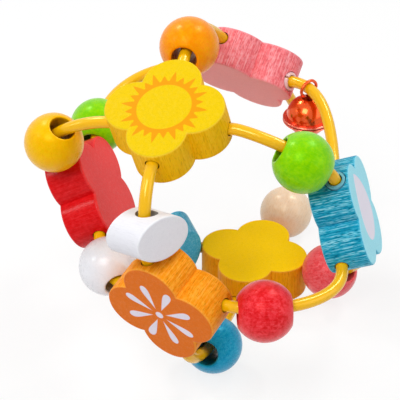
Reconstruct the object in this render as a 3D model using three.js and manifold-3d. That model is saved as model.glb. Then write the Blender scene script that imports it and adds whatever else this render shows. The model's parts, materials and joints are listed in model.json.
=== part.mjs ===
// Baby activity ball: six wooden quatrefoil blocks on three crossing plastic hoops, with loose round beads,
// two oval beads and a jingle bell on the free bends between the blocks.
// Millimetres, +Z up. The ball lies at rest on the outer face of its base block, centred on its footprint.

import * as THREE from 'three';
import { mergeVertices } from 'three/addons/utils/BufferGeometryUtils.js';
import Module from 'manifold-3d';

const wasm = await Module();
wasm.setup();

// Blocks
const LOBE_RADIUS = 10;
const LOBE_OFFSET = 10;
const BLOCK_THICKNESS = 14;
const BLOCK_EDGE = 0.6;

// Hoops and the bores they run in
const ROD_DIAMETER = 4;
const BORE_PLAY = 0.35;
const BORE_WEB = 0.5;
const ROD_LEAD = 1;
const BEND_REACH = 29;

// Ferrules over the joint of each hoop
const FERRULE_DIAMETER = 6.6;
const FERRULE_LENGTH = 10;
const FERRULE_PROUD = 0.3;

// Round beads
const BEAD_DIAMETER = 20;
const BEAD_BORE = 8.2;
const BEAD_EDGE = 0.7;

// Oval beads
const OVAL_LENGTH = 23;
const OVAL_WIDTH = 14;
const OVAL_THICKNESS = 14;
const OVAL_BORE = 7.2;
const OVAL_EDGE = 0.5;

// Jingle bell
const BELL_DIAMETER = 15;
const BELL_WALL = 0.6;
const BELL_NECK = 4.6;
const RIM_DROP = 1.2;
const RIM_WIDTH = 1.3;
const RIM_THICKNESS = 0.7;
const SLOT_LENGTH = 7;
const SLOT_WIDTH = 1.2;
const SLOT_EYE = 2.2;
const LOOP_WIRE = 1.1;
const LOOP_WIDTH = 8;
const LOOP_STAND = 6.9;
const LOOP_FOOT = 1.3;
const PELLET_DIAMETER = 4;

// Gap that pieces keep where they touch
const SEAT_GAP = 0.3;

// Facets
const ROD_SIDES = 8;
const ROD_STEPS = 84;
const ROUND_SIDES = 16;
const BORE_SIDES = 12;
const LOBE_STEPS = 10;
const EDGE_SEGMENTS = 2;
const OVAL_SEGMENTS = 12;
const BEAD_STEPS = 8;
const BELL_STEPS = 5;
const LOOP_STEPS = 24;
const LOOP_ARCH_STEPS = 4;
const LOOP_SIDES = 6;
const SEAT_STEPS = 12;

// Sizes that follow from those above
const BLOCK_HALF = LOBE_OFFSET + LOBE_RADIUS;
const ROD_RADIUS = ROD_DIAMETER / 2;
const BORE_RADIUS = ROD_RADIUS + BORE_PLAY;
const BORE_OFFSET = BORE_RADIUS + BORE_WEB / 2;
const BALL_REACH = BLOCK_HALF + BEND_REACH;
const BELL_RADIUS = BELL_DIAMETER / 2;

// Where each block sits, seen from the ball's middle (azimuth, elevation, extra reach), where its outer face
// looks (azimuth, tilt from straight up) and its twist. The hoops give, so no block sits quite square.
const BLOCKS = {
  sun_block: { seat: [-133.5, 61, -5], face: [-122, 22], twist: -163, colour: 0xf2c40c },
  base_block: { seat: [55, -60.5, 5.5], face: [0, 180], twist: 110.5, colour: 0xe8bd0a },
  blue_block: { seat: [-23, 5, -1.5], face: [-7.5, 70], twist: -157, colour: 0x2fa4c4 },
  red_block: { seat: [169.5, -6.5, -5.5], face: [174.5, 117], twist: 159.5, colour: 0xd9252b },
  pink_block: { seat: [75.5, 22.5, 6], face: [63, 48.5], twist: 165, colour: 0xf07c86 },
  orange_block: { seat: [-107.5, -13.5, -0.5], face: [-120.5, 102.5], twist: -168.5, colour: 0xf07f16 },
};

// Each hoop threads four blocks in turn, from the block that hides its joint: the block, the bore it uses,
// its way along that bore, and how far the bend after it swells where it leaves this block and where it
// meets the next one (shares of the bend's chord).
const HOOPS = {
  outer_hoop: [
    ['base_block', 'outer', 1, [0.25, 0.64]],
    ['pink_block', 'outer', 1, [0.38, 0.35]],
    ['sun_block', 'outer', -1, [0.4, 0.15]],
    ['orange_block', 'outer', -1, [0.27, 0.13]],
  ],
  middle_hoop: [
    ['blue_block', 'outer', 1, [0.3, 0.12]],
    ['sun_block', 'inner', 1, [0.35, 0.5]],
    ['red_block', 'outer', -1, [0.33, 0.26]],
    ['base_block', 'inner', 1, [0.35, 0.12]],
  ],
  inner_hoop: [
    ['pink_block', 'inner', 1, [0.36, 0.41]],
    ['blue_block', 'inner', 1, [0.34, 0.33]],
    ['orange_block', 'inner', 1, [0.3, 0.31]],
    ['red_block', 'inner', 1, [0.49, 0.44]],
  ],
};

// Round beads: the bend each is on (from block, to block), its share of the free way along that bend
// (0 against the first block, 1 against the second), and its lean about the rod (0 hangs straight down
// from it, 180 lies on the floor under it).
const BEADS = {
  orange_bead: { bend: 'pink_block sun_block', at: 0.89, lean: 8, colour: 0xf08a10 },
  yellow_bead: { bend: 'sun_block red_block', at: 0.85, lean: 40, colour: 0xf0b90c },
  green_bead: { bend: 'blue_block sun_block', at: 0.18, lean: -50, colour: 0x7cc51a },
  back_green_bead: { bend: 'red_block pink_block', at: 0, lean: -30, colour: 0x7cc51a },
  natural_bead: { bend: 'base_block pink_block', at: 0.07, lean: 124, colour: 0xe6cba8 },
  red_bead: { bend: 'blue_block orange_block', at: 0.91, lean: 0, colour: 0xd8222e },
  rose_bead: { bend: 'base_block blue_block', at: 0.05, lean: 123, colour: 0xd5404e },
  blue_bead: { bend: 'orange_block base_block', at: 0.4, lean: 114, colour: 0x2a94b8 },
  white_bead: { bend: 'orange_block red_block', at: 0.36, lean: 15, colour: 0xf4f4f4 },
};

// Oval beads: as the round ones, and the turn of the long axis about the rod.
const OVALS = {
  white_oval: { bend: 'sun_block orange_block', at: 0.93, lean: -62, turn: 46, colour: 0xf4f4f6 },
  blue_oval: { bend: 'red_block base_block', at: 0.9, lean: 41, turn: 0, colour: 0x2a9fc4 },
};

const BELL = { bend: 'pink_block blue_block', at: 0.18, colour: 0xe0440e };
const ROD_COLOUR = 0xf7c20a;
const FERRULE_COLOUR = 0xf3e9e6;
const STEEL_COLOUR = 0xb8babc;

// Finishes
const paint = (colour) => new THREE.MeshStandardMaterial({ color: colour, roughness: 0.45, metalness: 0 });
const plastic = (colour) => new THREE.MeshStandardMaterial({ color: colour, roughness: 0.3, metalness: 0 });
const metal = (colour) => new THREE.MeshStandardMaterial({ color: colour, roughness: 0.25, metalness: 0.9 });

// Closed solids
const radians = THREE.MathUtils.degToRad;

function toSolid(geometry) {
  const bare = geometry.clone();
  bare.deleteAttribute('normal');
  bare.deleteAttribute('uv');
  const merged = mergeVertices(bare, 1e-4);
  const index = merged.index.array;
  const triangles = [];
  for (let i = 0; i < index.length; i += 3) {
    const [a, b, c] = [index[i], index[i + 1], index[i + 2]];
    if (a !== b && b !== c && c !== a) triangles.push(a, b, c);
  }
  return new wasm.Manifold(new wasm.Mesh({
    numProp: 3,
    vertProperties: new Float32Array(merged.attributes.position.array),
    triVerts: new Uint32Array(triangles),
  }));
}

function toGeometry(solid) {
  const mesh = solid.getMesh();
  const geometry = new THREE.BufferGeometry();
  geometry.setAttribute('position', new THREE.BufferAttribute(new Float32Array(mesh.vertProperties), 3));
  geometry.setIndex(new THREE.BufferAttribute(new Uint32Array(mesh.triVerts), 1));
  geometry.computeVertexNormals();
  return geometry;
}

function addPiece(parent, name, solid, material) {
  const mesh = new THREE.Mesh(toGeometry(solid), material);
  mesh.name = name;
  parent.add(mesh);
  return mesh;
}

// A round bar along local X, Y or Z, centred on a point.
function bar(axis, radius, length, centre, sides) {
  const geometry = new THREE.CylinderGeometry(radius, radius, length, sides);
  if (axis === 'x') geometry.rotateZ(-Math.PI / 2);
  if (axis === 'z') geometry.rotateX(Math.PI / 2);
  geometry.translate(...centre);
  return toSolid(geometry);
}

// A body turned about Z from a closed profile of [radius, height] points that runs up its outer side.
function turned(profile) {
  const points = profile.map(([radius, height]) => new THREE.Vector2(radius, height));
  const geometry = new THREE.LatheGeometry(points, ROUND_SIDES);
  geometry.rotateX(Math.PI / 2);
  return toSolid(geometry);
}

// Points of an arc about a centre on the profile's plane, angles in radians from level.
function arc(radius, from, to, steps, centre = [0, 0]) {
  return Array.from({ length: steps + 1 }, (_, i) => {
    const angle = from + (to - from) * i / steps;
    return [centre[0] + radius * Math.cos(angle), centre[1] + radius * Math.sin(angle)];
  });
}

// Quatrefoil block: outer face up, the outer bore along local X, the inner bore along local Y.
function quatrefoil() {
  const meet = (LOBE_OFFSET + Math.sqrt(2 * LOBE_RADIUS ** 2 - LOBE_OFFSET ** 2)) / 2;
  const half = Math.atan2(meet, meet - LOBE_OFFSET);
  const points = [];
  for (let lobe = 0; lobe < 4; lobe += 1) {
    const angle = lobe * Math.PI / 2;
    const centre = [LOBE_OFFSET * Math.cos(angle), LOBE_OFFSET * Math.sin(angle)];
    points.push(...arc(LOBE_RADIUS, angle - half, angle + half, LOBE_STEPS, centre).slice(1));
  }
  return new THREE.Shape(points.map(([x, y]) => new THREE.Vector2(x, y)));
}

function slab(outline, thickness, edge) {
  const geometry = new THREE.ExtrudeGeometry(outline, {
    depth: thickness - 2 * edge,
    bevelThickness: edge,
    bevelSize: edge,
    bevelOffset: -edge,
    bevelSegments: EDGE_SEGMENTS,
    curveSegments: OVAL_SEGMENTS,
  });
  geometry.translate(0, 0, edge - thickness / 2);
  return toSolid(geometry);
}

const BORE_AXES = { outer: ['x', BORE_OFFSET], inner: ['y', -BORE_OFFSET] };
const THROUGH = 2 * BLOCK_HALF + 2 * ROD_LEAD;

function boreSolid(bore, radius, from, to) {
  const [axis, height] = BORE_AXES[bore];
  const middle = (from + to) / 2;
  const centre = axis === 'x' ? [middle, 0, height] : [0, middle, height];
  return bar(axis, radius, to - from, centre, BORE_SIDES);
}

const plainBlock = ['outer', 'inner'].reduce(
  (solid, bore) => solid.subtract(boreSolid(bore, BORE_RADIUS, -THROUGH / 2, THROUGH / 2)),
  slab(quatrefoil(), BLOCK_THICKNESS, BLOCK_EDGE),
);

// The ferrule's stretch along its bore, from the lobe's tip inwards.
const FERRULE_END = BLOCK_HALF + FERRULE_PROUD;
const FERRULE_START = FERRULE_END - FERRULE_LENGTH;
const JOINT_AT = FERRULE_END - FERRULE_LENGTH / 2;

function ferrulePocket(bore) {
  return boreSolid(bore, FERRULE_DIAMETER / 2 + SEAT_GAP, FERRULE_START - SEAT_GAP, THROUGH / 2);
}

// Blocks in their places
const ball = new THREE.Group();
const baseDepth = (BALL_REACH + BLOCKS.base_block.seat[2]) * Math.sin(radians(-BLOCKS.base_block.seat[1]));
const middle = new THREE.Vector3(0, 0, BLOCK_THICKNESS / 2 + baseDepth);
const jointBores = Object.fromEntries(Object.values(HOOPS).map(([[block, bore]]) => [block, bore]));
const blockFrames = {};

for (const [name, { seat, face, twist, colour }] of Object.entries(BLOCKS)) {
  const [azimuth, elevation, extra] = seat;
  const stand = new THREE.Group();
  stand.position.setFromSphericalCoords(BALL_REACH + extra, radians(90 - elevation), radians(azimuth + 90));
  stand.position.set(stand.position.x, -stand.position.z, stand.position.y).add(middle);
  stand.rotation.set(0, radians(face[1]), radians(face[0]), 'ZYX');
  const frame = new THREE.Group();
  frame.rotation.z = radians(twist);
  stand.add(frame);
  ball.add(stand);
  stand.updateMatrixWorld(true);
  blockFrames[name] = frame;
  const joint = jointBores[name];
  const solid = joint ? plainBlock.subtract(ferrulePocket(joint)) : plainBlock;
  addPiece(frame, name, solid, paint(colour));
}

// A point on the rod's line through a block, so far from the block's middle along the rod's way.
function onBore([block, bore, way], distance) {
  const [axis, height] = BORE_AXES[bore];
  const along = way * distance;
  const point = axis === 'x' ? new THREE.Vector3(along, 0, height) : new THREE.Vector3(0, along, height);
  return blockFrames[block].localToWorld(point);
}

// The free bend between two blocks, leaving and meeting each lobe straight.
function bendBetween(from, to) {
  const reach = BLOCK_HALF + ROD_LEAD;
  const start = onBore(from, reach);
  const end = onBore(to, -reach);
  const [leaving, meeting] = from[3].map((swell) => reach + swell * start.distanceTo(end));
  return new THREE.CubicBezierCurve3(start, onBore(from, leaving), onBore(to, -meeting), end);
}

// Hoops: one rod each, from its joint through three more blocks and back to the joint.
const bends = {};
const rodSection = new THREE.Shape().absarc(0, 0, ROD_RADIUS, 0, 2 * Math.PI);

for (const [name, stations] of Object.entries(HOOPS)) {
  const route = new THREE.CurvePath();
  const reach = BLOCK_HALF + ROD_LEAD;
  route.add(new THREE.LineCurve3(onBore(stations[0], JOINT_AT + SEAT_GAP / 2), onBore(stations[0], reach)));
  stations.forEach((from, i) => {
    const to = stations[(i + 1) % stations.length];
    const bend = bendBetween(from, to);
    bends[`${from[0]} ${to[0]}`] = bend;
    route.add(bend);
    const last = i === stations.length - 1;
    route.add(new THREE.LineCurve3(onBore(to, -reach), onBore(to, last ? JOINT_AT - SEAT_GAP / 2 : reach)));
  });
  const rod = new THREE.ExtrudeGeometry(rodSection, {
    steps: ROD_STEPS,
    curveSegments: ROD_SIDES / 2,
    extrudePath: route,
  });
  addPiece(ball, name, toSolid(rod), plastic(ROD_COLOUR));

  const [block, bore] = stations[0];
  const sleeve = boreSolid(bore, FERRULE_DIAMETER / 2, FERRULE_START, FERRULE_END);
  const ferrule = sleeve.subtract(boreSolid(bore, BORE_RADIUS, 0, THROUGH));
  addPiece(blockFrames[block], `${name}_ferrule`, ferrule, plastic(FERRULE_COLOUR));
}

// A frame for a piece threaded on a bend: its bore along local Z, local X straight up from the bore or level
// where the bore is upright, moved the way it leans until the bore's wall is a seat gap from the rod.
function threadedFrame({ bend, at, lean }, bore, length) {
  const curve = bends[bend];
  const bendLength = curve.getLength();
  const span = length / 2 / bendLength;
  const least = span + SEAT_GAP / bendLength;
  const middleAt = least + at * (1 - 2 * least);
  const pointAt = (share) => curve.getPointAt(middleAt + share * span);
  const axis = pointAt(1).sub(pointAt(-1)).normalize();
  const centre = pointAt(1).lerp(pointAt(-1), 0.5).lerp(pointAt(0), 0.5);
  const up = new THREE.Vector3(0, 0, 1).addScaledVector(axis, -axis.z).normalize();
  const level = new THREE.Vector3().crossVectors(axis, up);
  const way = up.clone().negate().applyAxisAngle(axis, -radians(lean));
  let shift = Infinity;
  for (let i = 0; i <= SEAT_STEPS; i += 1) {
    const share = 2 * i / SEAT_STEPS - 1;
    const breadth = ROD_RADIUS / axis.dot(curve.getTangentAt(middleAt + share * span));
    const room = bore / 2 - breadth - SEAT_GAP;
    const side = pointAt(share).sub(centre);
    side.addScaledVector(axis, -side.dot(axis));
    const along = side.dot(way);
    shift = Math.min(shift, along + Math.sqrt(Math.max(room ** 2 - side.lengthSq() + along ** 2, 0)));
  }
  const frame = new THREE.Group();
  frame.position.copy(centre).addScaledVector(way, shift);
  frame.quaternion.setFromRotationMatrix(new THREE.Matrix4().makeBasis(up, level, axis));
  ball.add(frame);
  return frame;
}

// Round beads: a ball with a wide bore and rounded bore mouths
function beadSolid() {
  const radius = BEAD_DIAMETER / 2;
  const bore = BEAD_BORE / 2;
  const inset = Math.asin((bore + BEAD_EDGE) / (radius - BEAD_EDGE));
  const mouth = (radius - BEAD_EDGE) * Math.cos(inset);
  const outer = arc(radius, inset - Math.PI / 2, Math.PI / 2 - inset, BEAD_STEPS);
  const upper = arc(BEAD_EDGE, Math.PI / 2 - inset, Math.PI, 2, [bore + BEAD_EDGE, mouth]).slice(1);
  const lower = upper.map(([r, z]) => [r, -z]).reverse();
  return turned([...outer, ...upper, ...lower, outer[0]]);
}

const bead = beadSolid();
const beadLength = Math.sqrt(BEAD_DIAMETER ** 2 - BEAD_BORE ** 2);
for (const [name, place] of Object.entries(BEADS)) {
  addPiece(threadedFrame(place, BEAD_BORE, beadLength), name, bead, paint(place.colour));
}

// Oval beads: an elliptic slab, bored through its narrow width
function ovalSolid() {
  const outline = new THREE.Shape().absellipse(0, 0, OVAL_LENGTH / 2, OVAL_WIDTH / 2, 0, 2 * Math.PI);
  const body = slab(outline, OVAL_THICKNESS, OVAL_EDGE);
  return body.subtract(bar('y', OVAL_BORE / 2, OVAL_WIDTH + 2 * OVAL_EDGE, [0, 0, 0], ROUND_SIDES));
}

const oval = ovalSolid();
for (const [name, place] of Object.entries(OVALS)) {
  const frame = threadedFrame(place, OVAL_BORE, OVAL_WIDTH);
  const mesh = addPiece(frame, name, oval, paint(place.colour));
  mesh.rotation.set(Math.PI / 2, 0, radians(place.turn), 'ZXY');
}

// Jingle bell: two shells crimped at a rim below the middle, a wire loop through the neck, a loose pellet
const INNER_RADIUS = BELL_RADIUS - BELL_WALL;
const angleAt = (radius, height) => Math.asin(height / radius);

function topShell() {
  const low = SEAT_GAP / 2 - RIM_DROP;
  const high = low + RIM_THICKNESS;
  const neck = Math.acos(BELL_NECK / 2 / BELL_RADIUS);
  const innerNeck = Math.acos(BELL_NECK / 2 / INNER_RADIUS);
  const outer = arc(BELL_RADIUS, angleAt(BELL_RADIUS, high), neck, BELL_STEPS);
  const inner = arc(INNER_RADIUS, innerNeck, angleAt(INNER_RADIUS, low), BELL_STEPS);
  const rim = [[BELL_RADIUS + RIM_WIDTH, low], [BELL_RADIUS + RIM_WIDTH, high]];
  return turned([...rim, ...outer, ...inner, rim[0]]);
}

function bottomShell() {
  const high = -SEAT_GAP / 2 - RIM_DROP;
  const low = high - RIM_THICKNESS;
  const outer = arc(BELL_RADIUS, -Math.PI / 2, angleAt(BELL_RADIUS, low), BELL_STEPS);
  const inner = arc(INNER_RADIUS, angleAt(INNER_RADIUS, high), -Math.PI / 2, BELL_STEPS);
  const rim = [[BELL_RADIUS + RIM_WIDTH, low], [BELL_RADIUS + RIM_WIDTH, high]];
  outer[0][0] = 0;
  inner[BELL_STEPS][0] = 0;
  const bowl = turned([...outer, ...rim, ...inner]);
  return ['x', 'y'].reduce((solid, axis) => solid.subtract(slot(axis)), bowl);
}

// A sound slot across the bottom with a round eye at each end.
function slot(axis) {
  const along = axis === 'x' ? [SLOT_LENGTH, SLOT_WIDTH] : [SLOT_WIDTH, SLOT_LENGTH];
  const cut = new THREE.BoxGeometry(...along, BELL_RADIUS);
  cut.translate(0, 0, -BELL_RADIUS);
  return [-1, 1].reduce((solid, end) => {
    const eye = end * SLOT_LENGTH / 2;
    const centre = axis === 'x' ? [eye, 0, -BELL_RADIUS] : [0, eye, -BELL_RADIUS];
    return solid.add(bar('z', SLOT_EYE / 2, BELL_RADIUS, centre, BORE_SIDES));
  }, toSolid(cut));
}

// The wire runs from one foot inside the neck, up round the rod and down to the other foot.
function loopSolid() {
  const wire = LOOP_WIRE / 2;
  const neck = BELL_NECK / 2 - wire - SEAT_GAP;
  const underNeck = Math.sqrt(INNER_RADIUS ** 2 - (BELL_NECK / 2) ** 2) - wire;
  const overNeck = Math.sqrt(BELL_RADIUS ** 2 - (BELL_NECK / 2) ** 2) + wire;
  const arch = LOOP_WIDTH / 2 - wire;
  const top = BELL_RADIUS + LOOP_STAND - wire;
  const foot = [neck + LOOP_FOOT, underNeck - LOOP_FOOT];
  const leg = [foot, [neck, underNeck], [neck, overNeck]];
  const points = [
    ...leg,
    ...arc(arch, 0, Math.PI, LOOP_ARCH_STEPS, [0, top - arch]),
    ...leg.map(([x, z]) => [-x, z]).reverse(),
  ];
  const path = new THREE.CatmullRomCurve3(points.map(([x, z]) => new THREE.Vector3(x, 0, z)));
  const section = new THREE.Shape().absarc(0, 0, wire, 0, 2 * Math.PI);
  return toSolid(new THREE.ExtrudeGeometry(section, {
    steps: LOOP_STEPS,
    curveSegments: LOOP_SIDES / 2,
    extrudePath: path,
  }));
}

function hangBell({ bend, at, colour }) {
  const curve = bends[bend];
  const along = curve.getTangentAt(at).setZ(0).normalize();
  const frame = new THREE.Group();
  const loopTop = BELL_RADIUS + LOOP_STAND - LOOP_WIRE;
  frame.position.copy(curve.getPointAt(at));
  frame.position.z += ROD_RADIUS + SEAT_GAP - loopTop;
  const up = new THREE.Vector3(0, 0, 1);
  frame.quaternion.setFromRotationMatrix(
    new THREE.Matrix4().makeBasis(new THREE.Vector3().crossVectors(along, up), along, up),
  );
  ball.add(frame);
  addPiece(frame, 'bell_top_shell', topShell(), metal(colour));
  addPiece(frame, 'bell_bottom_shell', bottomShell(), metal(colour));
  addPiece(frame, 'bell_loop', loopSolid(), metal(colour));
  const pellet = toSolid(new THREE.IcosahedronGeometry(PELLET_DIAMETER / 2, 1));
  const mesh = addPiece(frame, 'bell_pellet', pellet, metal(STEEL_COLOUR));
  mesh.position.z = PELLET_DIAMETER / 2 + SEAT_GAP - INNER_RADIUS;
}

hangBell(BELL);

// The part's origin is on the floor, under the middle of its footprint.
const box = new THREE.Box3().setFromObject(ball, true);
ball.position.set(-(box.min.x + box.max.x) / 2, -(box.min.y + box.max.y) / 2, -box.min.z);

export default ball;
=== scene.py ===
import json
import math

import bmesh
import bpy
from mathutils import Matrix, Vector


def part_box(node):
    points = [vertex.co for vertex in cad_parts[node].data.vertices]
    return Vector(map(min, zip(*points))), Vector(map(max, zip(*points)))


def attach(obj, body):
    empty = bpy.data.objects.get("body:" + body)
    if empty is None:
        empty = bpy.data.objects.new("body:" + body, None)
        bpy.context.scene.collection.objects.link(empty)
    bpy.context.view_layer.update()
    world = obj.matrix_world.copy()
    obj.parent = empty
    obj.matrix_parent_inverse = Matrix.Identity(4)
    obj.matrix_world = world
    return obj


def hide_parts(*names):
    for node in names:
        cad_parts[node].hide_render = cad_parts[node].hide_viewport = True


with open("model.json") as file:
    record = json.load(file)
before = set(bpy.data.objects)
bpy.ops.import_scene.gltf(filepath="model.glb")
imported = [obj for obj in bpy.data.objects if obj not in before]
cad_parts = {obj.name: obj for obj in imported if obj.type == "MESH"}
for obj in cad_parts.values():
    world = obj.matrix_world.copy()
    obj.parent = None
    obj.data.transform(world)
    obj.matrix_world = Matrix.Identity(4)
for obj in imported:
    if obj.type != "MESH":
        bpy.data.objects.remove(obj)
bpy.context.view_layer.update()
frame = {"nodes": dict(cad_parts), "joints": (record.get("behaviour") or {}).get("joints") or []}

# Sizes in millimetres, as in the CAD
MM = 0.001
LOBE_RADIUS = 10
LOBE_OFFSET = 10
BLOCK_THICKNESS = 14
BLOCK_EDGE = 0.6
ROD_RADIUS = 2
BORE_RADIUS = 2.35
BORE_OFFSET = 2.6
ROD_LEAD = 1
FERRULE_RADIUS = 3.3
FERRULE_LENGTH = 10
FERRULE_PROUD = 0.3
FERRULE_SLIT = 14
FERRULE_EDGE = 0.35
BEAD_RADIUS = 10
BEAD_BORE = 8.2
BEAD_EDGE = 0.7
OVAL_LENGTH = 23
OVAL_WIDTH = 14
OVAL_THICKNESS = 14
OVAL_BORE = 7.2
OVAL_EDGE = 0.5
BELL_RADIUS = 7.5
BELL_WALL = 0.6
BELL_NECK = 4.6
RIM_DROP = 1.2
RIM_WIDTH = 1.3
RIM_THICKNESS = 0.7
SLOT_LENGTH = 7
SLOT_WIDTH = 1.2
SLOT_EYE = 2.2
LOOP_WIRE = 1.1
LOOP_WIDTH = 8
LOOP_STAND = 6.9
LOOP_FOOT = 1.3
SEAT_GAP = 0.3

BLOCK_HALF = LOBE_OFFSET + LOBE_RADIUS
FACE = BLOCK_THICKNESS / 2
INNER_RADIUS = BELL_RADIUS - BELL_WALL

# How fine the meshes are: steps round each form, the angle past which an edge stays sharp, the
# distance within which points merge, and how far the cutter of a bore overruns
LOBE_STEPS = 36
OVAL_STEPS = 112
BORE_STEPS = 48
EYE_STEPS = 24
TURNED_STEPS = 72
BALL_STEPS = 40
MOUTH_STEPS = 8
SHELL_STEPS = 20
LIP_STEPS = 8
SLEEVE_STEPS = 56
CREASE_DEGREES = 34
MERGE = 0.002
CUT_OVERRUN = 4

# Where each block's outer face looks (azimuth, tilt from straight up) and its twist, in degrees
BLOCK_TURNS = {
    "sun_block": (-122, 22, -163),
    "base_block": (0, 180, 110.5),
    "blue_block": (-7.5, 70, -157),
    "red_block": (174.5, 117, 159.5),
    "pink_block": (63, 48.5, 165),
    "orange_block": (-120.5, 102.5, -168.5),
}

# Each hoop's blocks in turn: the block, the bore, the way along it, the swells of the bend that follows
HOOPS = {
    "outer_hoop": [
        ("base_block", "outer", 1, (0.25, 0.64)),
        ("pink_block", "outer", 1, (0.38, 0.35)),
        ("sun_block", "outer", -1, (0.4, 0.15)),
        ("orange_block", "outer", -1, (0.27, 0.13)),
    ],
    "middle_hoop": [
        ("blue_block", "outer", 1, (0.3, 0.12)),
        ("sun_block", "inner", 1, (0.35, 0.5)),
        ("red_block", "outer", -1, (0.33, 0.26)),
        ("base_block", "inner", 1, (0.35, 0.12)),
    ],
    "inner_hoop": [
        ("pink_block", "inner", 1, (0.36, 0.41)),
        ("blue_block", "inner", 1, (0.34, 0.33)),
        ("orange_block", "inner", 1, (0.3, 0.31)),
        ("red_block", "inner", 1, (0.49, 0.44)),
    ],
}

# Turn of each oval's long axis about its rod, in degrees from straight up
OVAL_TURNS = {"white_oval": 46, "blue_oval": 0}

# Stains and paints, as written on a colour card, and how strongly each piece of wood shows its dark
# grain lines, painted pale glints of light along the grain, and mottled stain
STAINS = {
    "sun_block": ("#ffca00", 0.3, 0.1, 0.25),
    "base_block": ("#faaa00", 0.3, 0.1, 0.25),
    "blue_block": ("#1eaed0", 0.7, 0.95, 0.4),
    "red_block": ("#e20e14", 0.15, 0.04, 0.4),
    "pink_block": ("#ff8a92", 0.3, 0.45, 0.6),
    "orange_block": ("#ffa61c", 0.36, 0.12, 0.4),
    "orange_bead": ("#ffa000", 0.1, 0.05, 0.35),
    "yellow_bead": ("#fcc300", 0.1, 0.05, 0.25),
    "green_bead": ("#8cd800", 0.06, 0.05, 0.45),
    "back_green_bead": ("#8cd800", 0.06, 0.05, 0.45),
    "natural_bead": ("#fae4c6", 0.14, 0.15, 0.45),
    "red_bead": ("#f2202a", 0.12, 0.1, 0.72),
    "rose_bead": ("#f65c62", 0.2, 0.1, 0.5),
    "blue_bead": ("#17aeda", 0.2, 0.1, 0.45),
    "white_bead": ("#f2f2f7", 0.06, 0, 0.15),
    "white_oval": ("#ededf3", 0.08, 0, 0.15),
    "blue_oval": ("#58c8ec", 0.3, 0.3, 0.3),
}

# Paint on the blocks' flat faces
FACES = {
    "sun_block": "#ebc806",
    "base_block": "#ffd800",
    "blue_block": "#a6effe",
    "red_block": "#ff3230",
    "pink_block": "#ffa6a8",
    "orange_block": "#e87014",
}

# Inks, plastics and metals
INK_ORANGE = "#ec9c0c"
INK_WHITE = "#ece6f4"
ROD_YELLOW = "#fbc004"
FERRULE_CARDS = {"outer_hoop": "#f0e2ae", "middle_hoop": "#6cb6c9", "inner_hoop": "#f6d2d4"}
BELL_RED = "#ee5614"
STEEL = "#b8babc"

# Clear coat over the stain, its weight and roughness, and the pieces where it is thicker
THIN_COAT = (0.04, 0.2)
THICK_COATS = {"red_block": (0.3, 0.2), "red_bead": (0.25, 0.3), "rose_bead": (0.15, 0.3)}
# Roughness of the stained wood and strength of its own reflection
BLOCK_SATIN = (0.4, 0.12)
BEAD_SATIN = (0.22, 0.6)
OVAL_SATIN = (0.36, 0.3)
# Roughness and coat weight of the plastics
ROD_GLOSS = (0.12, 0.1)
FERRULE_GLOSS = (0.3, 0.1)

# How deep the paint and ink reach below a block's face, and how softly they end, in millimetres
PAINT_SKIN = 0.2
INK_SKIN = 0.12
SKIN_EDGE = 0.1
# Depths of fine relief, in metres
GRAIN_DEPTH = 0.0002
SCUFF_DEPTH = 0.0001


def colour(card):
    """A colour card's value as linear red, green, blue and alpha."""
    shares = [int(card[i:i + 2], 16) / 255 for i in (1, 3, 5)]
    linear = [s / 12.92 if s <= 0.04045 else ((s + 0.055) / 1.055) ** 2.4 for s in shares]
    return (*linear, 1)


class Value:
    """A shader socket that takes part in Python expressions."""

    def __init__(self, finish, socket):
        self.finish = finish
        self.socket = socket

    def math(self, operation, *values, clamp=False):
        settings = {"operation": operation, "use_clamp": clamp}
        return self.finish.node("ShaderNodeMath", settings, dict(enumerate(values)))

    def __add__(self, other):
        return self.math("ADD", self, other)

    def __radd__(self, other):
        return self.math("ADD", other, self)

    def __sub__(self, other):
        return self.math("SUBTRACT", self, other)

    def __rsub__(self, other):
        return self.math("SUBTRACT", other, self)

    def __mul__(self, other):
        return self.math("MULTIPLY", self, other)

    def __truediv__(self, other):
        return self.math("DIVIDE", self, other)

    def __pow__(self, other):
        return self.math("POWER", self, other)

    def __abs__(self):
        return self.math("ABSOLUTE", self)

    def fract(self):
        return self.math("FRACT", self)

    def most(self, other):
        return self.math("MAXIMUM", self, other)

    def clamped(self):
        return self.math("ADD", self, 0, clamp=True)

    def over(self, edge, width):
        """0 below the edge and 1 above it, with a soft step of that width."""
        return self.math("MULTIPLY_ADD", self, 1 / width, 0.5 - edge / width, clamp=True)

    def under(self, edge, width):
        return 1 - self.over(edge, width)


class Nodes:
    """A node tree, with one method that adds any node to it."""

    def __init__(self, tree):
        self.tree = tree

    def feed(self, node, sockets):
        for key, value in sockets.items():
            if isinstance(value, Value):
                self.tree.links.new(value.socket, node.inputs[key])
            else:
                node.inputs[key].default_value = value

    def node(self, kind, settings, sockets, output=0):
        made = self.tree.nodes.new(kind)
        for key, value in settings.items():
            setattr(made, key, value)
        self.feed(made, sockets)
        return Value(self, made.outputs[output])

    def outputs(self, kind, sockets):
        """Every output of a new node, by its name."""
        made = self.node(kind, {}, sockets).socket.node
        return {socket.name: Value(self, socket) for socket in made.outputs}

    def seen_straight_or_mirrored(self):
        """1 for the camera and for what shiny surfaces show, 0 for the light on the object."""
        rays = self.outputs("ShaderNodeLightPath", {})
        straight = rays["Is Camera Ray"]
        mirrored = rays["Is Glossy Ray"]
        return straight.math("ADD", straight + mirrored, rays["Is Transmission Ray"], clamp=True)


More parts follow.
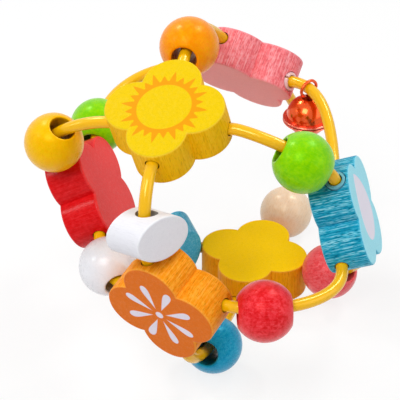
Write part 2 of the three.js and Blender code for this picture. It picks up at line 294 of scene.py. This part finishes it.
class Finish(Nodes):
    """One procedural material, ended by its shader."""

    def __init__(self, name, constants):
        self.material = bpy.data.materials.new(name)
        self.material.use_nodes = True
        super().__init__(self.material.node_tree)
        self.shader = self.tree.nodes["Principled BSDF"]
        self.feed(self.shader, constants)

    def place(self, own_frame):
        """Object coordinates in millimetres, in the piece's own frame."""
        spot = self.node("ShaderNodeTexCoord", {}, {}, "Object")
        sockets = {
            "Vector": spot,
            "Location": own_frame.to_translation(),
            "Rotation": own_frame.to_euler(),
            "Scale": (MM, MM, MM),
        }
        return self.node("ShaderNodeMapping", {"vector_type": "TEXTURE"}, sockets)

    def axes(self, place):
        return list(self.outputs("ShaderNodeSeparateXYZ", {0: place}).values())

    def stretch(self, place, scale):
        return self.node("ShaderNodeVectorMath", {"operation": "MULTIPLY"}, {0: place, 1: scale})

    def noise(self, place, scale, detail, roughness):
        sockets = {"Vector": place, "Scale": scale, "Detail": detail, "Roughness": roughness}
        return self.node("ShaderNodeTexNoise", {}, sockets)

    def mix(self, share, a, b):
        """The first colour, taken towards the second by a share."""
        settings = {"data_type": "RGBA", "clamp_factor": True}
        return self.node("ShaderNodeMix", settings, {0: share, 6: a, 7: b}, 2)

    def bump(self, height, strength, distance):
        sockets = {"Height": height, "Strength": strength, "Distance": distance}
        return self.node("ShaderNodeBump", {}, sockets)

    def end(self, sockets):
        self.feed(self.shader, sockets)
        return self.material


def shade(rgba, share):
    """The colour taken towards black by that share."""
    return tuple(c * (1 - share) for c in rgba[:3]) + (1,)


def tint(rgba, share):
    """The colour taken towards white by that share."""
    return tuple(c + (1 - c) * share for c in rgba[:3]) + (1,)


def rich(rgba, gain):
    """The colour made lighter in its own hue."""
    return tuple(min(c * gain, 1) for c in rgba[:3]) + (1,)


def coats(rgba, count):
    """The stain in so many coats: deeper and fuller above one, thinner and paler below it."""
    return tuple(c ** count for c in rgba[:3]) + (1,)


# Finish of the wooden pieces
def stained_wood(name, own_frame, bore_shade, satin, rim=None, printed=None):
    """Grain along the piece's own Z, open pores, uneven stain, painted glints, painted shade in the
    bores, paler specks on rounded edges and a print.
    """
    card, lines, glints, mottling = STAINS[name]
    rough, gloss = satin
    coat, coat_roughness = THICK_COATS.get(name, THIN_COAT)
    base = colour(card)
    shine = {
        "IOR": 1.46,
        "Coat Roughness": coat_roughness,
        "Specular IOR Level": gloss,
        "Specular Tint": tint(rich(base, 1.2), 0.02),
    }
    finish = Finish(name + "_stain", shine)
    place = finish.place(own_frame)
    axes = finish.axes(place)
    # Noises with their scales per millimetre: the first two run along the grain
    streaks = finish.noise(finish.stretch(place, (1, 1, 0.04)), 1.5, 4, 0.65)
    pores = finish.noise(finish.stretch(place, (1, 1, 0.13)), 3.4, 1, 0.5)
    mottle = finish.noise(place, 0.7, 4, 0.7)
    specks = finish.noise(place, 3.8, 2, 0.6)
    clouds = finish.noise(place, 0.13, 2, 0.5)
    open_pores = pores.over(0.63, 0.12)
    # Painted glints: short pale dashes along the grain that stand in for light caught by the grain
    painted_glints = streaks.under(0.47, 0.1) * pores.under(0.5, 0.15)
    patch = shade(coats(base, 1.5), 0.5 * mottling ** 2)
    tone = finish.mix(clouds.over(0.5, 0.5) * 0.5, base, coats(base, 1.4))
    tone = finish.mix(mottle.over(0.52, 0.3) * mottling, tone, patch)
    tone = finish.mix(mottle.under(0.46, 0.2) * (mottling * 0.7), tone, coats(base, 0.6))
    tone = finish.mix(streaks.over(0.56, 0.1) * (lines * 0.9), tone, shade(coats(base, 1.6), 0.3))
    tone = finish.mix(open_pores * lines, tone, shade(coats(base, 1.6), 0.65))
    # Painted highlight: the stain lightened in those dashes as if light glinted on them
    tone = finish.mix(painted_glints * glints, tone, tint(coats(base, 0.5), 0.2))
    if name in FACES:
        face = colour(FACES[name])
        flat = finish.mix(specks.over(0.58, 0.15) * 0.4, face, shade(face, 0.3))
        flat = finish.mix(mottle.under(0.45, 0.15) * (mottling * 0.3), flat, tint(face, 0.15))
        tone = finish.mix(abs(axes[2]).over(FACE - PAINT_SKIN, SKIN_EDGE) * 0.92, tone, flat)
    if rim:
        # The rounded edges paler in specks
        tone = finish.mix(rim(axes) * specks.over(0.42, 0.3) * 0.3, tone, tint(rich(base, 1.3), 0.12))
    roughness = rough + mottle * 0.12 + open_pores * 0.1
    if printed:
        ink_card, print_of, print_frame = printed
        on_face = axes[2].over(FACE - INK_SKIN, SKIN_EDGE)
        ink = print_of(finish.axes(finish.place(print_frame))) * on_face
        worn = 1 - specks.over(0.64, 0.1) * 0.3
        tone = finish.mix(ink * worn, tone, colour(ink_card))
        roughness = roughness - ink * 0.06
    # Painted shade: the wood darkened towards black inside the bores, where shade falls
    tone = finish.mix(bore_shade(axes) * 0.75, tone, shade(base, 0.7))
    relief = streaks * 0.6 - open_pores * 0.7 + specks * 0.3
    sockets = {
        "Base Color": tone,
        "Roughness": roughness,
        "Coat Weight": coat - mottle * (coat * 0.5),
        "Normal": finish.bump(relief, 0.12 + lines * 0.12, GRAIN_DEPTH),
    }
    return finish.end(sockets)


def rounded_rim(axes):
    """The rounded edges of a slab, painted paler in specks."""
    height = abs(axes[2])
    return height.over(FACE - BLOCK_EDGE, 0.3) * height.under(FACE - 0.06, 0.05)


# Masks of the bores, where shade is painted inside them
def in_block_bores(axes):
    x, y, z = axes
    outer = (y ** 2 + (z - BORE_OFFSET) ** 2).under(BORE_RADIUS ** 2 * 1.06, 0.4)
    inner = (x ** 2 + (z + BORE_OFFSET) ** 2).under(BORE_RADIUS ** 2 * 1.06, 0.4)
    return outer + inner


def in_bead_bore(axes):
    x, y, _ = axes
    return (x ** 2 + y ** 2).under((BEAD_BORE / 2 + 0.25) ** 2, 1.6)


def in_oval_bore(axes):
    x, _, z = axes
    return (x ** 2 + z ** 2).under((OVAL_BORE / 2) ** 2 * 1.03, 0.6)


# Prints on the outer faces: a sunburst, a daisy and a raindrop
SUN_DISC = 9
SUN_RING = 10.6
SUN_RAYS = 12
RAY_LONG = 4
RAY_SHORT = 2.2
PETALS = 8
PETAL_START = 2.4
PETAL_LENGTH = 10.5
PETAL_WIDTH = 2.2
DAISY_EYE = 1.4
DROP_HEIGHT = 25
DROP_WIDTH = 23
PRINT_EDGE = 0.22


def turns_of(axes, count):
    """How far round the face's middle a point is, in shares of so many turns, and how far from it."""
    x, y, _ = axes
    return x.math("ARCTAN2", y, x) * (count / math.tau), (x ** 2 + y ** 2) ** 0.5


def sunburst(axes):
    turn, radius = turns_of(axes, SUN_RAYS)
    long_rays = (1 - abs(turn.fract() - 0.5) * 5) * RAY_LONG
    short_rays = (1 - abs((turn + 0.5).fract() - 0.5) * 5) * RAY_SHORT
    reach = long_rays.most(short_rays).most(0) + SUN_RING
    return radius.over(SUN_DISC, PRINT_EDGE) * (reach - radius).over(0, PRINT_EDGE)


def daisy(axes):
    turn, radius = turns_of(axes, PETALS)
    aside = abs(turn.fract() - 0.5) * (math.tau / PETALS) * radius
    along = ((radius - PETAL_START) / PETAL_LENGTH).clamped()
    half = along * (1 - along ** 6) ** 0.5 * PETAL_WIDTH
    petals = (half - aside).over(0.1, PRINT_EDGE)
    return petals.most(radius.under(DAISY_EYE, PRINT_EDGE))


def raindrop(axes):
    """A drop with its point towards the face's own Y."""
    x, y, _ = axes
    share = (y / DROP_HEIGHT + 0.42).clamped()
    half = share ** 0.5 * (1 - share) ** 0.85 * DROP_WIDTH
    return (half - abs(x)).over(PRINT_EDGE, PRINT_EDGE)


# Meshes
def added(name, data):
    """A new object in the scene."""
    made = bpy.data.objects.new(name, data)
    bpy.context.scene.collection.objects.link(made)
    return made


def finished(name, bm, own_frame, material, body, node):
    """The bmesh, drawn in millimetres, as a smooth piece in its place that stands for its CAD node."""
    bmesh.ops.remove_doubles(bm, verts=bm.verts, dist=MERGE)
    bmesh.ops.recalc_face_normals(bm, faces=bm.faces)
    bmesh.ops.transform(bm, matrix=own_frame @ Matrix.Scale(MM, 4), verts=bm.verts)
    mesh = bpy.data.meshes.new(name)
    bm.to_mesh(mesh)
    bm.free()
    settled(name, mesh, material, body, node)


def settled(name, mesh, material, body, node):
    """The mesh as a smooth piece that rides on its body and stands for its CAD node."""
    mesh.shade_smooth()
    mesh.set_sharp_from_angle(angle=math.radians(CREASE_DEGREES))
    mesh.materials.clear()
    mesh.materials.append(material)
    piece = added(name, mesh)
    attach(piece, body)
    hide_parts(node)


def cylinder(radius, length, turn, segments=BORE_STEPS):
    """A bmesh bar along Z, turned and placed."""
    bm = bmesh.new()
    bmesh.ops.create_cone(
        bm, cap_ends=True, segments=segments, radius1=radius, radius2=radius, depth=length, matrix=turn
    )
    return bm


def carved(bm, tools):
    """The bmesh with every tool cut out of it."""
    body = added("body", bpy.data.meshes.new("body"))
    bm.to_mesh(body.data)
    bm.free()
    made = [body]
    for tool in tools:
        cutter = added("cutter", bpy.data.meshes.new("cutter"))
        tool.to_mesh(cutter.data)
        tool.free()
        made.append(cutter)
        cut = body.modifiers.new("cut", "BOOLEAN")
        cut.operation = "DIFFERENCE"
        cut.solver = "EXACT"
        cut.object = cutter
    result = bmesh.new()
    result.from_object(body, bpy.context.evaluated_depsgraph_get())
    for piece in made:
        mesh = piece.data
        bpy.data.objects.remove(piece)
        bpy.data.meshes.remove(mesh)
    return result


def points_in(geometry):
    return [part for part in geometry if isinstance(part, bmesh.types.BMVert)]


def slab(bm, thickness, edge):
    """Makes the flat outline a slab about Z = 0, with rounded edges and support loops beside them."""
    bmesh.ops.translate(bm, vec=(0, 0, -thickness / 2), verts=bm.verts)
    lifted = bmesh.ops.extrude_face_region(bm, geom=bm.faces[:], use_keep_orig=True)
    bmesh.ops.translate(bm, vec=(0, 0, thickness), verts=points_in(lifted["geom"]))
    bmesh.ops.recalc_face_normals(bm, faces=bm.faces)
    rims = [e for e in bm.edges if abs(e.verts[0].co.z - e.verts[1].co.z) < MERGE]
    bmesh.ops.bevel(
        bm, geom=rims, offset=edge, segments=3, profile=0.5, affect="EDGES", material=-1
    )
    for height in (edge * 1.5 - thickness / 2, thickness / 2 - edge * 1.5):
        whole = bm.verts[:] + bm.edges[:] + bm.faces[:]
        bmesh.ops.bisect_plane(bm, geom=whole, plane_co=(0, 0, height), plane_no=(0, 0, 1))
    caps = [f for f in bm.faces if len(f.verts) > 8]
    bmesh.ops.inset_region(bm, faces=caps, thickness=edge / 4)


def wire(bm, start, moves):
    """A chain of edges in the XZ plane: a move is an arc (centre, angle, steps) or a straight run."""
    last = bm.verts.new(start)
    for move in moves:
        if len(move) == 3:
            centre, angle, steps = move
            hub = (centre[0], 0, centre[1])
            swept = bmesh.ops.spin(
                bm, geom=[last], cent=hub, axis=(0, -1, 0), angle=angle, steps=steps
            )
            last = points_in(swept["geom_last"])[0]
        else:
            end = bm.verts.new((move[0], 0, move[1]))
            bm.edges.new((last, end))
            last = end


def turned(bm):
    """Spins the wire full round Z."""
    bmesh.ops.remove_doubles(bm, verts=bm.verts, dist=MERGE)
    outline = bm.verts[:] + bm.edges[:]
    bmesh.ops.spin(
        bm, geom=outline, axis=(0, 0, 1), angle=math.tau, steps=TURNED_STEPS, use_merge=True
    )
    bmesh.ops.remove_doubles(bm, verts=bm.verts, dist=MERGE)


# Frames of the pieces
def block_frame(name):
    azimuth, tilt, twist = (math.radians(turn) for turn in BLOCK_TURNS[name])
    low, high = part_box(name)
    aim = Matrix.Rotation(azimuth, 4, "Z") @ Matrix.Rotation(tilt, 4, "Y")
    return Matrix.Translation((low + high) / 2) @ (aim @ Matrix.Rotation(twist, 4, "Z"))


def joint_of(body):
    """The place and the axis of the joint on which a body moves."""
    joint = next(j for j in frame["joints"] if j["child"] == body)
    return Vector(joint["pos_m"]), Vector(joint["axis"]).normalized()


def threaded_frame(name, turn=0):
    """A frame on a bead's bore: Z along the bore, X towards straight up."""
    spot, along = joint_of(name)
    up = (Vector((0, 0, 1)) - along * along.z).normalized()
    axes = Matrix((up, along.cross(up), along)).transposed().to_4x4()
    return Matrix.Translation(spot) @ axes @ Matrix.Rotation(math.radians(turn), 4, "Z")


block_frames = {name: block_frame(name) for name in BLOCK_TURNS}
BORE_TURNS = {
    "outer": Matrix.Translation((0, 0, BORE_OFFSET)) @ Matrix.Rotation(math.pi / 2, 4, "Y"),
    "inner": Matrix.Translation((0, 0, -BORE_OFFSET)) @ Matrix.Rotation(-math.pi / 2, 4, "X"),
}
FERRULE_END = BLOCK_HALF + FERRULE_PROUD
FERRULE_START = FERRULE_END - FERRULE_LENGTH
JOINT_AT = FERRULE_END - FERRULE_LENGTH / 2
joint_bores = {stations[0][0]: stations[0][1] for stations in HOOPS.values()}


# Blocks
def quatrefoil():
    """A flat outline of four half-round lobes."""
    bm = bmesh.new()
    last = bm.verts.new((LOBE_OFFSET, -LOBE_OFFSET, 0))
    for lobe in range(4):
        angle = lobe * math.pi / 2
        centre = (LOBE_OFFSET * math.cos(angle), LOBE_OFFSET * math.sin(angle), 0)
        swept = bmesh.ops.spin(
            bm, geom=[last], cent=centre, axis=(0, 0, 1), angle=math.pi, steps=LOBE_STEPS
        )
        last = points_in(swept["geom_last"])[0]
    bmesh.ops.remove_doubles(bm, verts=bm.verts, dist=MERGE)
    bmesh.ops.edgeloop_fill(bm, edges=bm.edges[:])
    return bm


def upright(name):
    """The block's frame turned about its face's normal until Y points up the face."""
    own_frame = block_frames[name]
    up = own_frame.to_3x3().inverted() @ Vector((0, 0, 1))
    return own_frame @ Matrix.Rotation(math.atan2(-up.x, up.y), 4, "Z")


PRINTS = {
    "sun_block": (INK_ORANGE, sunburst, upright("sun_block")),
    "orange_block": (INK_WHITE, daisy, upright("orange_block")),
    "blue_block": (INK_WHITE, raindrop, upright("blue_block")),
}
for name, own_frame in block_frames.items():
    bm = quatrefoil()
    slab(bm, BLOCK_THICKNESS, BLOCK_EDGE)
    through = 2 * BLOCK_HALF + CUT_OVERRUN
    tools = [cylinder(BORE_RADIUS, through, turn) for turn in BORE_TURNS.values()]
    if name in joint_bores:
        pocket = Matrix.Translation((0, 0, FERRULE_START - SEAT_GAP + FERRULE_LENGTH))
        turn = BORE_TURNS[joint_bores[name]] @ pocket
        tools.append(cylinder(FERRULE_RADIUS + SEAT_GAP, 2 * FERRULE_LENGTH, turn))
    bm = carved(bm, tools)
    printed = PRINTS.get(name)
    material = stained_wood(name, own_frame, in_block_bores, BLOCK_SATIN, rounded_rim, printed)
    finished(name + "_wood", bm, own_frame, material, "frame", name)


# Hoops
def on_bore(station, distance):
    """A point on the rod's line through a block, so far past the block's middle."""
    block, bore, way, _ = station
    return block_frames[block] @ (BORE_TURNS[bore] @ Vector((0, 0, way * distance)) * MM)


def hoop_knots(stations):
    """The rod's knots, each with its handles: two on each straight run through a block."""
    reach = BLOCK_HALF + ROD_LEAD
    first = stations[0]
    start = JOINT_AT + SEAT_GAP / 2
    knots = [[on_bore(first, at) for at in (start - 1, start, start + 1)]]
    knots.append([on_bore(first, at) for at in (reach - 1, reach, reach + 1)])
    for here, there in zip(stations, stations[1:] + stations[:1]):
        chord = (on_bore(here, reach) - on_bore(there, -reach)).length / MM
        leaving, meeting = (swell * chord for swell in here[3])
        knots[-1][2] = on_bore(here, reach + leaving)
        knots.append([on_bore(there, -reach + step) for step in (-meeting, 0, 1)])
        out = JOINT_AT - SEAT_GAP / 2 if there is first else reach
        knots.append([on_bore(there, out + step) for step in (-1, 0, 1)])
    return knots


def rod_mesh(name, knots, radius, sides, steps, handles="FREE"):
    """A round rod along Bezier knots, as a mesh."""
    curve = bpy.data.curves.new(name, "CURVE")
    curve.dimensions = "3D"
    curve.bevel_depth = radius * MM
    curve.bevel_resolution = sides
    curve.resolution_u = steps
    curve.use_fill_caps = True
    spline = curve.splines.new("BEZIER")
    spline.bezier_points.add(len(knots) - 1)
    for point, (before, spot, after) in zip(spline.bezier_points, knots):
        point.handle_left_type = handles
        point.handle_right_type = handles
        point.co = spot
        point.handle_left = before
        point.handle_right = after
    route = added(name, curve)
    drawn = route.evaluated_get(bpy.context.evaluated_depsgraph_get())
    mesh = bpy.data.meshes.new_from_object(drawn)
    bpy.data.objects.remove(route)
    bpy.data.curves.remove(curve)
    return mesh


def gloss_plastic(name, card, gloss):
    """Smooth drawn plastic, with faint flow clouds and handling scuffs."""
    rough, coat = gloss
    base = colour(card)
    shine = {
        "IOR": 1.49,
        "Coat Roughness": 0.08,
        "Specular IOR Level": 0.9,
        "Specular Tint": tint(base, 0.25),
    }
    finish = Finish(name, shine)
    place = finish.place(Matrix())
    clouds = finish.noise(place, 0.09, 2, 0.5)
    scuffs = finish.noise(place, 1.1, 4, 0.65)
    tone = finish.mix(clouds.over(0.5, 0.4) * 0.35, base, shade(base, 0.12))
    tone = finish.mix(scuffs.over(0.63, 0.12) * 0.3, tone, tint(rich(base, 1.2), 0.06))
    sockets = {
        "Base Color": tone,
        "Roughness": rough + scuffs.over(0.55, 0.3) * 0.14,
        "Coat Weight": coat - scuffs.over(0.6, 0.2) * (coat * 0.6),
        "Normal": finish.bump(scuffs, 0.05, SCUFF_DEPTH),
    }
    return finish.end(sockets)


rod_plastic = gloss_plastic("rod_plastic", ROD_YELLOW, ROD_GLOSS)


def ferrule():
    """A split sleeve along Z with rounded ends."""
    bm = bmesh.new()
    corners = [(BORE_RADIUS, FERRULE_START), (FERRULE_RADIUS, FERRULE_START)]
    corners += [(FERRULE_RADIUS, FERRULE_END), (BORE_RADIUS, FERRULE_END)]
    wall = bm.faces.new([bm.verts.new((x, 0, z)) for x, z in corners])
    rounding = [v for v in wall.verts if v.co.x > BORE_RADIUS]
    bmesh.ops.bevel(
        bm, geom=rounding, offset=FERRULE_EDGE, segments=4, profile=0.5, affect="VERTICES", material=-1
    )
    section = bm.verts[:] + bm.edges[:] + bm.faces[:]
    sweep = math.tau - math.radians(FERRULE_SLIT)
    bmesh.ops.spin(bm, geom=section, axis=(0, 0, 1), angle=sweep, steps=SLEEVE_STEPS)
    return bm


for name, stations in HOOPS.items():
    mesh = rod_mesh(name, hoop_knots(stations), ROD_RADIUS, sides=8, steps=24)
    settled(name + "_rod", mesh, rod_plastic, "frame", name)
    block, bore = stations[0][:2]
    bm = ferrule()
    bmesh.ops.transform(bm, matrix=BORE_TURNS[bore], verts=bm.verts)
    sleeve = name + "_ferrule"
    plastic = gloss_plastic(sleeve + "_plastic", FERRULE_CARDS[name], FERRULE_GLOSS)
    finished(sleeve + "_sleeve", bm, block_frames[block], plastic, "frame", sleeve)


# Round beads: turned balls with a wide bore and rounded bore mouths
def bead():
    bm = bmesh.new()
    bore = BEAD_BORE / 2
    inset = math.asin((bore + BEAD_EDGE) / (BEAD_RADIUS - BEAD_EDGE))
    mouth = (BEAD_RADIUS - BEAD_EDGE) * math.cos(inset)
    moves = [
        ((0, 0), math.pi - 2 * inset, BALL_STEPS),
        ((bore + BEAD_EDGE, mouth), math.pi / 2 + inset, MOUTH_STEPS),
        (bore, -mouth),
        ((bore + BEAD_EDGE, -mouth), math.pi / 2 + inset, MOUTH_STEPS),
    ]
    wire(bm, (BEAD_RADIUS * math.sin(inset), 0, -BEAD_RADIUS * math.cos(inset)), moves)
    turned(bm)
    return bm


for name in [n for n in STAINS if n.endswith("_bead")]:
    own_frame = threaded_frame(name)
    material = stained_wood(name, own_frame, in_bead_bore, BEAD_SATIN)
    finished(name + "_ball", bead(), own_frame, material, name, name)

# Oval beads: elliptic slabs, bored through their narrow width
across_oval = Matrix.Rotation(math.pi / 2, 4, "X")
for name, turn in OVAL_TURNS.items():
    own_frame = threaded_frame(name, turn) @ across_oval
    bm = bmesh.new()
    bmesh.ops.create_circle(bm, cap_ends=True, segments=OVAL_STEPS, radius=1)
    bmesh.ops.scale(bm, vec=(OVAL_LENGTH / 2, OVAL_WIDTH / 2, 1), verts=bm.verts)
    slab(bm, OVAL_THICKNESS, OVAL_EDGE)
    bm = carved(bm, [cylinder(OVAL_BORE / 2, 2 * OVAL_WIDTH, across_oval)])
    material = stained_wood(name, own_frame, in_oval_bore, OVAL_SATIN, rounded_rim)
    finished(name + "_slice", bm, own_frame, material, name, name)


# Jingle bell: two shells crimped at a rolled rim, a wire loop through the neck
def bell_frame():
    """The middle of the hanging bell: Z up, Y along the rod that its loop hangs on."""
    spot, along = joint_of("bell")
    up = Vector((0, 0, 1))
    axes = Matrix((along.cross(up), along, up)).transposed().to_4x4()
    drop = BELL_RADIUS + LOOP_STAND - LOOP_WIRE - ROD_RADIUS - SEAT_GAP
    return Matrix.Translation(spot - up * drop * MM) @ axes


def shell(top):
    """Half of the bell's wall, turned about Z, with a rolled rim."""
    bm = bmesh.new()
    side = 1 if top else -1
    near = side * SEAT_GAP / 2 - RIM_DROP
    far = near + side * RIM_THICKNESS
    rim_angle = math.asin(far / BELL_RADIUS)
    seam_angle = math.asin(near / INNER_RADIUS)
    pole = math.acos(BELL_NECK / 2 / BELL_RADIUS) if top else -math.pi / 2
    inner_pole = math.acos(BELL_NECK / 2 / INNER_RADIUS) if top else -math.pi / 2
    lip = BELL_RADIUS + RIM_WIDTH - RIM_THICKNESS / 2
    moves = [
        ((0, 0), rim_angle - pole, SHELL_STEPS),
        (lip, far),
        ((lip, (near + far) / 2), -side * math.pi, LIP_STEPS),
        (INNER_RADIUS * math.cos(seam_angle), near),
        ((0, 0), inner_pole - seam_angle, SHELL_STEPS),
    ]
    start = (BELL_RADIUS * math.cos(pole), 0, BELL_RADIUS * math.sin(pole))
    if top:
        moves.append((start[0], start[2]))
    wire(bm, start, moves)
    turned(bm)
    return bm


def sound_slots():
    """The cutters of the crossed slots under the bell, with a round eye at each end."""
    tools = []
    for turn in (0, math.pi / 2):
        bm = bmesh.new()
        across = Matrix.Diagonal((SLOT_LENGTH, SLOT_WIDTH, BELL_RADIUS, 1))
        drop = Matrix.Rotation(turn, 4, "Z") @ Matrix.Translation((0, 0, -BELL_RADIUS))
        bmesh.ops.create_cube(bm, size=1, matrix=drop @ across)
        tools.append(bm)
        for end in (-1, 1):
            eye = drop @ Matrix.Translation((end * SLOT_LENGTH / 2, 0, 0))
            tools.append(cylinder(SLOT_EYE / 2, BELL_RADIUS, eye, EYE_STEPS))
    return tools


def loop_knots(own_frame):
    """The wire loop's knots: a foot spread inside the neck, a leg, the bow, and the same back down."""
    half_wire = LOOP_WIRE / 2
    neck = BELL_NECK / 2 - half_wire - SEAT_GAP
    under = math.sqrt(INNER_RADIUS ** 2 - (BELL_NECK / 2) ** 2) - half_wire
    over = math.sqrt(BELL_RADIUS ** 2 - (BELL_NECK / 2) ** 2) + half_wire
    arch = LOOP_WIDTH / 2 - half_wire
    middle = BELL_RADIUS + LOOP_STAND - half_wire - arch
    leg = [(neck + LOOP_FOOT, under - LOOP_FOOT), (neck, under), (neck, over)]
    angles = [eighth * math.pi / 4 for eighth in range(5)]
    bow = [(arch * math.cos(angle), middle + arch * math.sin(angle)) for angle in angles]
    points = leg + bow + [(-x, z) for x, z in reversed(leg)]
    return [[own_frame @ (Vector((x, 0, z)) * MM)] * 3 for x, z in points]


def lacquered_metal(name, own_frame, card):
    """Coloured lacquer over bright metal, rubbed through in specks on the rim."""
    finish = Finish(name, {"Coat Roughness": 0.08, "Specular IOR Level": 0.3})
    place = finish.place(own_frame)
    base = colour(card)
    clouds = finish.noise(place, 0.5, 3, 0.6)
    specks = finish.noise(place, 3.5, 3, 0.6)
    height = finish.axes(place)[2]
    rim = abs(height + RIM_DROP).under(RIM_THICKNESS + 0.25, 0.3)
    tone = finish.mix(clouds.over(0.5, 0.4) * 0.4, base, shade(base, 0.25))
    tone = finish.mix(rim * specks.over(0.4, 0.3) * 0.45, tone, tint(base, 0.35))
    sockets = {
        "Base Color": tone,
        "Metallic": 0.75 + rim * 0.1,
        "Roughness": 0.12 + clouds * 0.1 + specks.over(0.6, 0.2) * 0.08,
        "Coat Weight": 0.35 - specks.over(0.62, 0.1) * 0.2,
        "Normal": finish.bump(clouds, 0.06, GRAIN_DEPTH),
    }
    return finish.end(sockets)


bell_place = bell_frame()
bell_lacquer = lacquered_metal("bell_lacquer", bell_place, BELL_RED)
finished("bell_dome", shell(True), bell_place, bell_lacquer, "bell", "bell_top_shell")
cup = carved(shell(False), sound_slots())
finished("bell_cup", cup, bell_place, bell_lacquer, "bell", "bell_bottom_shell")
ring = rod_mesh("ring", loop_knots(bell_place), LOOP_WIRE / 2, sides=5, steps=10, handles="AUTO")
settled("bell_ring", ring, bell_lacquer, "bell", "bell_loop")


def rolled_steel():
    """Plain steel with dull rubs."""
    finish = Finish("pellet_steel", {"Metallic": 1})
    place = finish.place(Matrix())
    rubs = finish.noise(place, 2.2, 3, 0.6)
    base = colour(STEEL)
    tone = finish.mix(rubs.over(0.5, 0.4) * 0.5, base, shade(base, 0.3))
    return finish.end({"Base Color": tone, "Roughness": 0.25 + rubs * 0.2})


# The loose pellet keeps its CAD mesh
pellet = frame["nodes"]["bell_pellet"]
pellet.data.materials.clear()
pellet.data.materials.append(rolled_steel())

# Floor and world: white to the eye and in reflections, and dimmer as a source of light
FLOOR_SIZE = 4
FLOOR_DROP = 0.0002
FLOOR_WHITE = "#ffffff"
FLOOR_CLOUD = "#fafafa"
FLOOR_BOUNCE = "#e4e4e4"
FLOOR_GLOW = 0.8
LIGHT_LEVEL = 0.2
WHITE = (1, 1, 1, 1)


def pale_floor():
    """A pale floor that mostly glows where it is seen, and keeps a soft shadow of the object."""
    finish = Finish("pale_floor", {"Roughness": 0.9, "Specular IOR Level": 0.1})
    place = finish.place(Matrix())
    cloud = finish.noise(place, 0.004, 2, 0.5)
    seen = finish.seen_straight_or_mirrored()
    tone = finish.mix(cloud, colour(FLOOR_WHITE), colour(FLOOR_CLOUD))
    finish.end({"Base Color": finish.mix(seen, colour(FLOOR_BOUNCE), tone)})
    glow = finish.node("ShaderNodeEmission", {}, {"Color": WHITE, "Strength": 1})
    lit = Value(finish, finish.shader.outputs[0])
    both = finish.node("ShaderNodeMixShader", {}, {0: seen * FLOOR_GLOW, 1: lit, 2: glow})
    finish.feed(finish.tree.nodes["Material Output"], {"Surface": both})
    return finish.material


bm = bmesh.new()
bmesh.ops.create_grid(bm, x_segments=4, y_segments=4, size=FLOOR_SIZE)
bmesh.ops.translate(bm, vec=(0, 0, -FLOOR_DROP), verts=bm.verts)
floor_mesh = bpy.data.meshes.new("floor")
bm.to_mesh(floor_mesh)
bm.free()
floor_mesh.materials.append(pale_floor())
floor = added("floor", floor_mesh)

world = bpy.data.worlds.new("studio")
world.use_nodes = True
bpy.context.scene.world = world
air = Nodes(world.node_tree)
level = air.seen_straight_or_mirrored() * (1 - LIGHT_LEVEL) + LIGHT_LEVEL
air.feed(world.node_tree.nodes["Background"], {"Color": WHITE, "Strength": level})

# Soft lamps that face the ball's middle: name, place, size (metres) and power (watts)
MIDDLE = Vector((0, 0, 0.055))
LAMPS = [
    ("left_softbox", (-0.45, 0.44, 0.8), 0.16, 2.1),
    ("right_softbox", (0.43, 0.34, 0.88), 0.26, 2.9),
    ("front_softbox", (-0.3, -0.6, 0.9), 0.5, 6.1),
    ("right_fill", (0.8, -0.35, 0.45), 0.6, 1.6),
    ("left_card", (-0.73, -0.13, 0.57), 0.16, 0.9),
]
for name, spot, size, power in LAMPS:
    lamp = bpy.data.lights.new(name, "AREA")
    lamp.shape = "SQUARE"
    lamp.size = size
    lamp.energy = power
    holder = added(name, lamp)
    holder.location = spot
    holder.rotation_euler = (MIDDLE - Vector(spot)).to_track_quat("-Z", "Y").to_euler()

# The camera stands where the photograph was taken from: place in millimetres, pitch in degrees, and
# focal length as a multiple of the picture's width
CAMERA_SPOT = (-1.57, -438.6, 352.0)
CAMERA_PITCH = 55.47
FOCAL_SHARE = 3.855
SENSOR_WIDTH = 36
camera = bpy.data.cameras.new("camera")
camera.sensor_width = SENSOR_WIDTH
camera.lens = SENSOR_WIDTH * FOCAL_SHARE
camera.clip_start = 0.01
holder = added("camera", camera)
holder.location = Vector(CAMERA_SPOT) * MM
holder.rotation_euler = (math.radians(CAMERA_PITCH), 0, 0)
bpy.context.scene.camera = holder
bpy.context.scene.view_settings.view_transform = "Standard"
